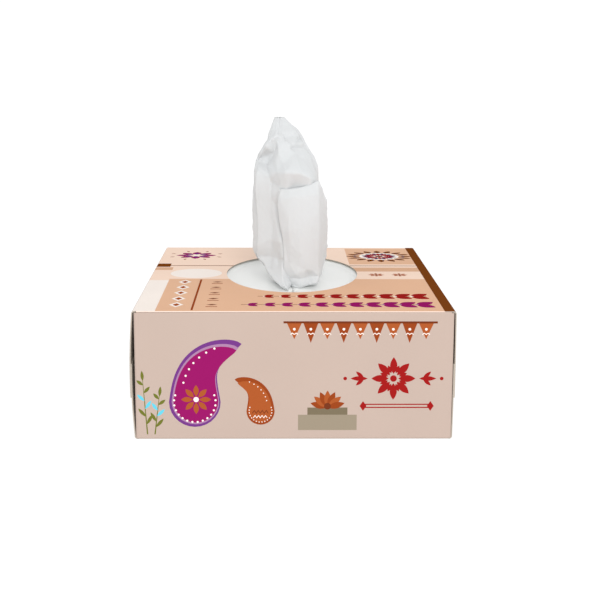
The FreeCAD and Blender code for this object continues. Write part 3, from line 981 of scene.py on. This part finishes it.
def add_mesh(name, points, faces, materials, smooth=True):
    """New piece from points in millimetres."""
    mesh = bpy.data.meshes.new(name)
    mesh.from_pydata([Vector(point) * MM for point in points], [], faces)
    for material in materials:
        mesh.materials.append(material)
    mesh.polygons.foreach_set("use_smooth", [smooth] * len(mesh.polygons))
    piece = bpy.data.objects.new(name, mesh)
    bpy.context.collection.objects.link(piece)
    return piece


class Skins:
    """Faces of the folded carton, with each one's ink, normals and place in the bake."""

    printed_half, bare_half, quarter, edge_room = 0.0, 0.505, 0.245, 1.0

    def __init__(self, blank, flat, tints):
        self.flat, self.tints = flat, tints
        self.wide = blank.flap_start + blank.ends[-1, 0].length + self.edge_room
        self.tall = blank.sleeve.length
        self.faces, self.slots, self.normals, self.spots = [], [], [], []

    def add(self, face, tint, ways, half):
        self.faces.append(face)
        self.slots.append(self.tints.index(tint))
        self.normals.extend(ways)
        for corner in face:
            u, v = self.flat[corner % len(self.flat)]
            self.spots.extend(((u / self.wide + 1) * self.quarter + half, v / self.tall))


def fold_carton(blank, hole, print_shapes, inks):
    """Whole carton as one printed sheet: outer skin, bare inner skin and cut edges."""
    flat, kept = cut_blank(blank, hole, [points for _, points in print_shapes])
    used = sorted({corner for triangle, _ in kept for corner in triangle})
    order = {corner: number for number, corner in enumerate(used)}
    folded = [blank.fold(*flat[corner]) for corner in used]
    count = len(used)
    points = [place for place, _ in folded]
    points += [place - out * blank.board for place, out in folded]
    skins = Skins(blank, [flat[corner] for corner in used], list(inks))
    sides = set()
    for triangle, shape in kept:
        inner = [order[corner] for corner in triangle]
        tint = print_shapes[shape][0] if shape >= 0 else "beige"
        skins.add(inner[::-1], tint, [folded[c][1] for c in inner[::-1]], skins.printed_half)
        skins.add([c + count for c in inner], "raw_board", [-folded[c][1] for c in inner],
                  skins.bare_half)
        sides.update(zip(inner, inner[1:] + inner[:1]))
    # Cut edges take the darkened cut edge colour, painted shade on the board's own edge.
    for near, far in sorted(sides):
        if (far, near) not in sides:
            out = (points[far] - points[near]).cross(-folded[near][1]).normalized()
            skins.add([near, far, far + count, near + count], "cut_edge", [out] * 4,
                      skins.bare_half)
    piece = add_mesh("carton_board", points, skins.faces, inks.values())
    piece.data.polygons.foreach_set("material_index", skins.slots)
    piece.data.uv_layers.new(name="OFBake").data.foreach_set("uv", skins.spots)
    piece.data.normals_split_custom_set(skins.normals)
    return piece


def oval(width, length, centre, z, steps):
    """Level oval, its centre moved along Y."""
    turns = [math.tau * (step + 0.5) / steps for step in range(steps)]
    return [(width / 2 * math.cos(t), centre + length / 2 * math.sin(t), z) for t in turns]


def slit_outline(sizes, centre, z, steps):
    """Outline of the slit: blunt where it holds the tissue, a hairline on to its ends."""
    half, deep, held = (size / MM / 2 for size in (sizes.slit_width, sizes.slit_length,
                                                   sizes.slit_held))
    hairline = 0.06
    points = []
    for step in range(steps):
        turn = math.tau * (step + 0.5) / steps
        along = deep * math.sin(turn)
        across = hairline + half * max(0.0, 1 - (abs(along) / held) ** 6)
        points.append((math.copysign(across, math.cos(turn)), centre + along, z))
    return points


def rectangle(width, length, centre, z, steps):
    """Rectangle with as many points as the ovals; its corners are near odd eighths."""
    points = []
    for step in range(steps):
        turn = math.tau * (step + 0.5) / steps
        across = max(-1.0, min(1.0, math.cos(turn) * math.sqrt(2)))
        along = max(-1.0, min(1.0, math.sin(turn) * math.sqrt(2)))
        points.append((width / 2 * across, centre + length / 2 * along, z))
    return points


def between_rings(inner, outer, steps):
    """Rings from one to the other, the last left out."""
    return [[tuple(a + (b - a) * step / steps for a, b in zip(p, q))
             for p, q in zip(inner, outer)] for step in range(steps)]


def ring_faces(rings, count, first=0):
    """Four-sided faces that join rings of count points each."""
    faces = []
    for ring in range(rings - 1):
        for step in range(count):
            near = first + ring * count
            following = (step + 1) % count
            faces.append((near + step, near + following, near + count + following,
                          near + count + step))
    return faces


def stretch_film(sizes, carton):
    """Film with its slit, its dish under the opening and its glued border."""
    steps, dish_rings, slope_rings, border_rings = 144, 14, 6, 2
    under_panel = 0.02
    top = HEIGHT - carton.board / MM - under_panel
    floor = top - sizes.dish / MM
    width, length = carton.opening_width / MM, carton.opening_length / MM
    centre = carton.opening_offset / MM
    slope, margin = sizes.slope / MM, sizes.margin / MM
    slit_centre = centre + sizes.slit_offset / MM
    slit = slit_outline(sizes, slit_centre, floor, steps)
    dish = oval(width - 2 * slope, length - 2 * slope, centre, floor, steps)
    rim = oval(width + 2 * slope, length + 2 * slope, centre, top, steps)
    border = rectangle(width + 2 * margin, length + 2 * margin, centre, top, steps)
    rings = between_rings(slit, dish, dish_rings) + between_rings(dish, rim, slope_rings)
    rings += between_rings(rim, border, border_rings) + [border]
    points = []
    for number, ring in enumerate(rings):
        ease = min(1.0, max(0.0, (dish_rings + slope_rings - number) / slope_rings))
        lip = sizes.lip / MM * max(0.0, 1 - number / dish_rings) ** 2.5
        points += pulled_up(ring, sizes, slit_centre, lip, ease * sizes.wrinkle / MM * 2)
    film = add_mesh("slit_film_sheet", points, ring_faces(len(rings), steps),
                    [milky_film(sizes)])
    solid = film.modifiers.new("Thickness", "SOLIDIFY")
    solid.thickness = sizes.thickness
    solid.offset = -1
    return film


def pulled_up(ring, sizes, slit_centre, lip, wrinkle):
    """Ring of the film, pulled up by the tissue along the slit and a little wrinkled."""
    reach = 1.14
    for x, y, z in ring:
        ripple = noise.noise(Vector((x * 0.11, y * 0.06, 3.0)))
        from_slit = abs(y - slit_centre) / (sizes.slit_held / MM / 2)
        lift = lip * max(0.0, 1 - (from_slit / reach) ** 8)
        yield x, y, z + lift + wrinkle * ripple


def stack_layers(sizes):
    """Block of folded sheets: grooves between them, and rounded folds above and below."""
    random.seed(11)
    low, high = STACK_LOW, STACK_HIGH
    rise = (high.z - low.z) / sizes.layers
    groove, fold_radius, count = 0.22, 2.0, 48
    levels = []
    for layer in range(sizes.layers):
        base = low.z + (high.z - low.z) * layer / sizes.layers
        shift = random.uniform(0.0, 0.35)
        levels += [(base + rise * share, shift + inset)
                   for share, inset in ((0.08, groove), (0.5, 0.0), (0.92, groove))]
    points = []
    for z, inset in levels:
        to_face = min(z - low.z, high.z - z, fold_radius)
        fold = fold_radius - math.sqrt(fold_radius ** 2 - (fold_radius - to_face) ** 2)
        points += rectangle(2 * (high.x - inset - fold), 2 * (high.y - inset * 0.6), 0.0, z,
                            count)
    faces = ring_faces(len(levels), count)
    faces.append(tuple(range(count))[::-1])
    faces.append(tuple(range(len(points) - count, len(points))))
    return add_mesh("tissue_layers", points, faces, [layered_tissue(sizes.paper)], False)


class FoldLine:
    """Smooth line through its points: a cubic, its knots spaced by root distances."""

    def __init__(self, points):
        self.points = np.array(points, float)
        gaps = np.sqrt(np.linalg.norm(np.diff(self.points, axis=0), axis=1))
        self.knots = np.concatenate([[0.0], np.cumsum(gaps)]) / gaps.sum()
        spans = np.diff(self.knots)
        count = len(self.knots)
        system, sides = np.eye(count), np.zeros((count, 3))
        slopes = np.diff(self.points, axis=0) / spans[:, None]
        for k in range(1, count - 1):
            system[k, k - 1:k + 2] = spans[k - 1], 2 * (spans[k - 1] + spans[k]), spans[k]
            sides[k] = 6 * (slopes[k] - slopes[k - 1])
        self.bends = np.linalg.solve(system, sides)

    def at(self, places):
        places = np.atleast_1d(places)
        k = np.clip(np.searchsorted(self.knots, places, "right") - 1, 0, len(self.knots) - 2)
        span = (self.knots[k + 1] - self.knots[k])[:, None]
        near = (places[:, None] - self.knots[k][:, None]) / span
        far = 1 - near
        cubic = (far ** 3 - far) * self.bends[k] + (near ** 3 - near) * self.bends[k + 1]
        return far * self.points[k] + near * self.points[k + 1] + cubic * span ** 2 / 6


def across_folds(lines, places, softness, closed):
    """Sheet across its fold lines: flat between them and rounded at them, by softness."""
    count = len(lines)
    total = 0.0
    offsets = np.linspace(-1, 1, 7)
    reach = np.interp(places, range(count + 1), [*softness, softness[0]])
    for offset in offsets:
        moved = places + offset * reach
        moved = moved % count if closed else np.clip(moved, 0, count - 1 - 1e-9)
        near = np.floor(moved).astype(int)
        share = (moved - near)[:, None, None]
        total = total + lines[near] * (1 - share) + lines[(near + 1) % count] * share
    return total / len(offsets)


def normals_of(grid, closed):
    """Unit direction square to the sheet at each point of a grid."""
    if closed:
        wide = np.concatenate([grid[-1:], grid, grid[:1]])
        across = wide[2:] - wide[:-2]
    else:
        across = np.gradient(grid, axis=0)
    along = np.gradient(grid, axis=1)
    square = np.cross(across, along)
    size = np.linalg.norm(square, axis=2, keepdims=True)
    return square / np.maximum(size, 1e-9)


def dented(grid, closed, outward, dents):
    """Grid with its front pushed towards -Y as the dents say, flat between their points.

    Each dent is across, up and push; outward is 1 or -1, as the grid's normals point.
    """
    facing = np.clip(-normals_of(grid, closed)[:, :, 1] * outward * 3, 0, 1)
    table = np.array(dents)
    _, _, triangles, *_ = delaunay_2d_cdt([Vector(dent[:2]) for dent in dents], [], [], 0, 1e-6)
    across, up = grid[:, :, 0], grid[:, :, 2]
    push = np.zeros(across.shape)
    for corners in triangles:
        (x0, z0, a), (x1, z1, b), (x2, z2, c) = table[list(corners)]
        area = (x1 - x0) * (z2 - z0) - (x2 - x0) * (z1 - z0)
        far = ((across - x0) * (z2 - z0) - (x2 - x0) * (up - z0)) / area
        last = ((x1 - x0) * (up - z0) - (across - x0) * (z1 - z0)) / area
        inside = (far >= 0) & (last >= 0) & (far + last <= 1)
        push = np.where(inside, a + (b - a) * far + (c - a) * last, push)
    moved = grid.copy()
    moved[:, :, 1] -= push * facing
    return moved


def crumpled(grid, closed, sizes, seed, fade):
    """Grid with soft pleats, sharp creases and small crinkles, all square to the sheet."""
    square = normals_of(grid, closed)
    moved = grid.copy()
    pleat_depth, crinkle_depth, crease_height = (
        depth / MM for depth in (sizes.pleat, sizes.crinkle, sizes.crease))
    for column, row in np.ndindex(grid.shape[:2]):
        x, y, z = grid[column, row]
        pleat = noise.noise(Vector((x * 0.14, y * 0.12, z * 0.05 + seed)))
        crinkle = noise.fractal(Vector((x * 0.35, y * 0.35, z * 0.3 + seed * 3)), 0.8, 2.1, 3)
        ridge = 1 - 2 * abs(noise.noise(Vector((x * 0.13, y * 0.11, z * 0.1 + seed * 7))))
        crease = 1 - 2 * abs(noise.noise(Vector((x * 0.09, y * 0.1, z * 0.028 + seed * 2))))
        aside = 0.7 + 1.1 * abs(square[column, row, 0]) + 0.9 * min(1.0, y / 12)
        push = pleat_depth * pleat + crinkle_depth * (crinkle + 0.8 * ridge ** 6)
        push *= max(0.8, aside + 0.8)
        push += crease_height * (crease ** 3 - 0.35) * max(0, aside)
        moved[column, row] += square[column, row] * push * fade[row]
    return moved


def outer_edge(count, half, deep):
    """Points round the flat sheet's edge, from the middle of its front by way of the left."""
    corners = [(0, -deep), (-half, -deep), (-half, deep), (0, deep), (half, deep),
               (half, -deep), (0, -deep)]
    reach = np.concatenate([[0], np.cumsum([math.dist(a, b) for a, b in
                                            zip(corners, corners[1:])])])
    places = np.linspace(0, reach[-1], count, endpoint=False)
    return np.stack([np.interp(places, reach, [c[k] for c in corners]) for k in (0, 1)], 1)


def placed(grid, sizes, centre):
    """Grid moved from round the slit's middle to its place, and sunk a little."""
    return grid * (1.0, 1.0, 1 - sizes.settle) + (np.array(centre) + (sizes.shift / MM, 0, 0))


def cone_grid(sizes, centre, up, columns):
    """Cone from the slit to its tip, its columns all round it."""
    lines = np.array([FoldLine(points).at(up) for points in CONE_FOLDS])
    cone = across_folds(lines, columns, CONE_SOFTNESS, True)
    cone = placed(dented(cone, True, -1, CONE_DENTS), sizes, centre)
    # The crumples start above the slit and are weaker towards the tip.
    fade = np.clip(up * 14, 0, 1) * (0.35 + 0.65 * np.clip((1 - up) * 5, 0, 1))
    return crumpled(cone, True, sizes, 5.0, fade)


def skirt_grid(slit, columns, height):
    """Part of the sheet that lies on the stack, from its edge to the slit, in low waves."""
    rows = 26
    edge = outer_edge(len(columns), TISSUE_HIGH.x, TISSUE_HIGH.y)
    skirt = np.zeros((len(columns), rows, 3))
    for row, share in enumerate(np.linspace(1, 0, rows, endpoint=False) ** 1.4):
        skirt[:, row, :2] = slit * (1 - share) + edge * share
        wave = np.sin(columns * 8.4) * 0.12 * (1 - share) * min(1.0, share * 8)
        skirt[:, row, 2] = height + wave
    return skirt


def wrap_grid(sizes, centre, up):
    """Free part, from its root on the front of the cone round the right to the back."""
    per_fold, root_rise, root_place = 18, 0.57, 0.45
    roots = np.linspace(0, root_rise, len(up))
    ridge, middle = FoldLine(CONE_FOLDS[0]).at(roots), FoldLine(CONE_FOLDS[-1]).at(roots)
    root = ridge + (middle - ridge) * root_place
    lines = np.array([root] + [FoldLine(points).at(up) for points in WRAP_FOLDS])
    columns = np.linspace(0, len(WRAP_FOLDS), 1 + per_fold * len(WRAP_FOLDS))
    wrap = across_folds(lines, columns, WRAP_SOFTNESS, False)
    wrap = placed(dented(wrap, False, 1, WRAP_DENTS), sizes, centre)
    return crumpled(wrap, False, sizes, 9.0, np.clip(up * 14, 0, 1))


def grid_faces(count, rows, closed, first):
    """Faces of a grid of columns; a closed grid joins up and has a cap at its end."""
    faces = []
    for column in range(count if closed else count - 1):
        near, far = first + column * rows, first + (column + 1) % count * rows
        faces += [(near + r, near + r + 1, far + r + 1, far + r) for r in range(rows - 1)]
    if closed:
        faces.append([first + (column + 1) * rows - 1 for column in range(count)])
    return faces


def raise_tissue(sizes, film, carton):
    """Drawn tissue: its skirt on the stack, the cone through the slit, and the wrap."""
    above_stack, rows, per_fold = 0.15, 110, 20
    centre = Vector((0.0, (carton.opening_offset + film.slit_offset) / MM,
                     TISSUE_LOW.z + above_stack))
    up = np.linspace(0, 1, rows)
    columns = np.arange(len(CONE_FOLDS) * per_fold) / per_fold
    cone = cone_grid(sizes, centre, up, columns)
    skirt = skirt_grid(cone[:, 0, :2], columns, centre.z)
    sheet = np.concatenate([skirt, cone], axis=1)
    points, faces = [], []
    for grid, closed in ((sheet, True), (wrap_grid(sizes, centre, up), False)):
        faces += grid_faces(*grid.shape[:2], closed, len(points))
        points += [tuple(point) for point in grid.reshape(-1, 3)]
    tissue = add_mesh("drawn_tissue", points, faces, [soft_tissue(sizes.paper, sizes.glow)])
    solid = tissue.modifiers.new("Thickness", "SOLIDIFY")
    solid.thickness = sizes.thickness
    solid.offset = 0
    return tissue


def sweep(settings):
    """Round white floor that curves up all round, like a shallow bowl."""
    rim, flat, lift, count, rises = settings.floor_radius, 1.2, 0.8, 96, 14
    profile = [(flat * share, 0.0) for share in (0.25, 0.5, 0.75)]
    profile += [(flat + (rim - flat) * math.sin(turn), lift * (1 - math.cos(turn)))
                for turn in (math.pi / 2 * step / rises for step in range(rises + 1))]
    points = [(0.0, 0.0, 0.0)]
    for radius, height in profile:
        points += [(radius * math.cos(turn) / MM, radius * math.sin(turn) / MM, height / MM)
                   for turn in (math.tau * step / count for step in range(count))]
    faces = [(0, 1 + step, 1 + (step + 1) % count) for step in range(count)]
    faces += [face[::-1] for face in ring_faces(len(profile), count, 1)]
    return add_mesh("white_sweep", points, faces, [white_sweep(settings)])


def soft_light(name, place, target, size, power):
    """Round area light that points at its target."""
    light = bpy.data.lights.new(name, "AREA")
    light.shape = "DISK"
    light.size = size
    light.energy = power
    lamp = bpy.data.objects.new(name, light)
    lamp.location = place
    lamp.rotation_euler = (Vector(target) - Vector(place)).to_track_quat("-Z", "Y").to_euler()
    bpy.context.collection.objects.link(lamp)


def aim_camera(settings):
    """Camera at the photograph's viewing angle."""
    place = (-0.00631, -0.5235, 0.1445)
    yaw, pitch, roll = (math.radians(angle) for angle in (1.067, 11.48, 0.277))
    ahead = Vector((math.sin(yaw) * math.cos(pitch), math.cos(yaw) * math.cos(pitch),
                    -math.sin(pitch)))
    level = Vector((math.cos(yaw), -math.sin(yaw), 0.0))
    upright = level.cross(ahead)
    right = level * math.cos(roll) + upright * math.sin(roll)
    up = upright * math.cos(roll) - level * math.sin(roll)
    data = bpy.data.cameras.new("camera")
    data.lens = settings.lens
    data.sensor_width = 36.0
    camera = bpy.data.objects.new("camera", data)
    turn = Matrix((right, up, -ahead)).transposed().to_4x4()
    camera.matrix_world = Matrix.Translation(place) @ turn
    bpy.context.collection.objects.link(camera)
    bpy.context.scene.camera = camera


class PieceOperator:
    """What the pieces' operators share."""

    bl_options = {"REGISTER", "UNDO"}

    def settings(self, context):
        return context.scene.tissue_box


class TISSUEBOX_OT_carton(PieceOperator, bpy.types.Operator):
    """Folds the printed carton from its flat blank"""

    bl_idname = "tissue_box.carton"
    bl_label = "Printed carton"

    def execute(self, context):
        settings = self.settings(context)
        sizes = settings.carton
        blank = Blank(sizes)
        hole = [(x, blank.v_of("top", y)) for x, y, _ in oval(
            sizes.opening_width / MM, sizes.opening_length / MM,
            sizes.opening_offset / MM, 0.0, 144)]
        inks = {}
        for name in type(settings.inks).__annotations__:
            base = getattr(settings.inks, name)
            if name in ("raw_board", "cut_edge"):
                inks[name] = bare_board(name, base)
            elif name in FIELDS:
                inks[name] = printed_field(name, base)
            else:
                inks[name] = printed_ink(name, base)
        board = fold_carton(blank, hole, list(drawings(blank)), inks)
        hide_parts("carton")
        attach(board, "root")
        return {"FINISHED"}


class TISSUEBOX_OT_film(PieceOperator, bpy.types.Operator):
    """Stretches the slit film under the opening"""

    bl_idname = "tissue_box.film"
    bl_label = "Slit film"

    def execute(self, context):
        settings = self.settings(context)
        film = stretch_film(settings.film, settings.carton)
        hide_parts("slit_film")
        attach(film, "root")
        return {"FINISHED"}


class TISSUEBOX_OT_stack(PieceOperator, bpy.types.Operator):
    """Stacks the folded tissues in the carton"""

    bl_idname = "tissue_box.stack"
    bl_label = "Stacked tissues"

    def execute(self, context):
        stack = stack_layers(self.settings(context).tissue)
        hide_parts("tissue_stack")
        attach(stack, "root")
        return {"FINISHED"}


class TISSUEBOX_OT_tissue(PieceOperator, bpy.types.Operator):
    """Draws the next tissue up through the slit"""

    bl_idname = "tissue_box.tissue"
    bl_label = "Drawn tissue"

    def execute(self, context):
        settings = self.settings(context)
        tissue = raise_tissue(settings.tissue, settings.film, settings.carton)
        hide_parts("pulled_tissue")
        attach(tissue, "root")
        return {"FINISHED"}


class TISSUEBOX_OT_studio(PieceOperator, bpy.types.Operator):
    """Sets the white floor, the light, the sky and the camera"""

    bl_idname = "tissue_box.studio"
    bl_label = "Studio"

    def execute(self, context):
        studio = self.settings(context).studio
        sweep(studio)
        soft_light("key_light", place=(0.15, -1.25, 0.62), target=(0.0, 0.0, 0.06), size=0.5,
                   power=studio.key)
        world = bpy.data.worlds.new("sky")
        world.use_nodes = True
        background = world.node_tree.nodes["Background"]
        background.inputs["Color"].default_value = (1, 1, 1, 1)
        background.inputs["Strength"].default_value = studio.sky
        context.scene.world = world
        context.scene.view_settings.view_transform = "Standard"
        aim_camera(studio)
        return {"FINISHED"}


STEPS = (TISSUEBOX_OT_carton, TISSUEBOX_OT_film, TISSUEBOX_OT_stack, TISSUEBOX_OT_tissue,
         TISSUEBOX_OT_studio)


class TISSUEBOX_PT_steps(bpy.types.Panel):
    """Buttons for the pieces, in the order they are built"""

    bl_label = "Tissue Box"
    bl_idname = "TISSUEBOX_PT_steps"
    bl_space_type = "VIEW_3D"
    bl_region_type = "UI"
    bl_category = "Tissue Box"

    def draw(self, context):
        for step in STEPS:
            self.layout.operator(step.bl_idname)


CLASSES = (CartonSettings, InkSettings, FilmSettings, TissueSettings, StudioSettings,
           TissueBoxSettings, *STEPS, TISSUEBOX_PT_steps)


def register():
    for part in CLASSES:
        bpy.utils.register_class(part)
    bpy.types.Scene.tissue_box = PointerProperty(type=TissueBoxSettings)


def unregister():
    del bpy.types.Scene.tissue_box
    for part in reversed(CLASSES):
        bpy.utils.unregister_class(part)


def main():
    """Builds every piece and the studio."""
    register()
    for step in STEPS:
        group, name = step.bl_idname.split(".")
        getattr(getattr(bpy.ops, group), name)()


if __name__ == "__main__":
    main()
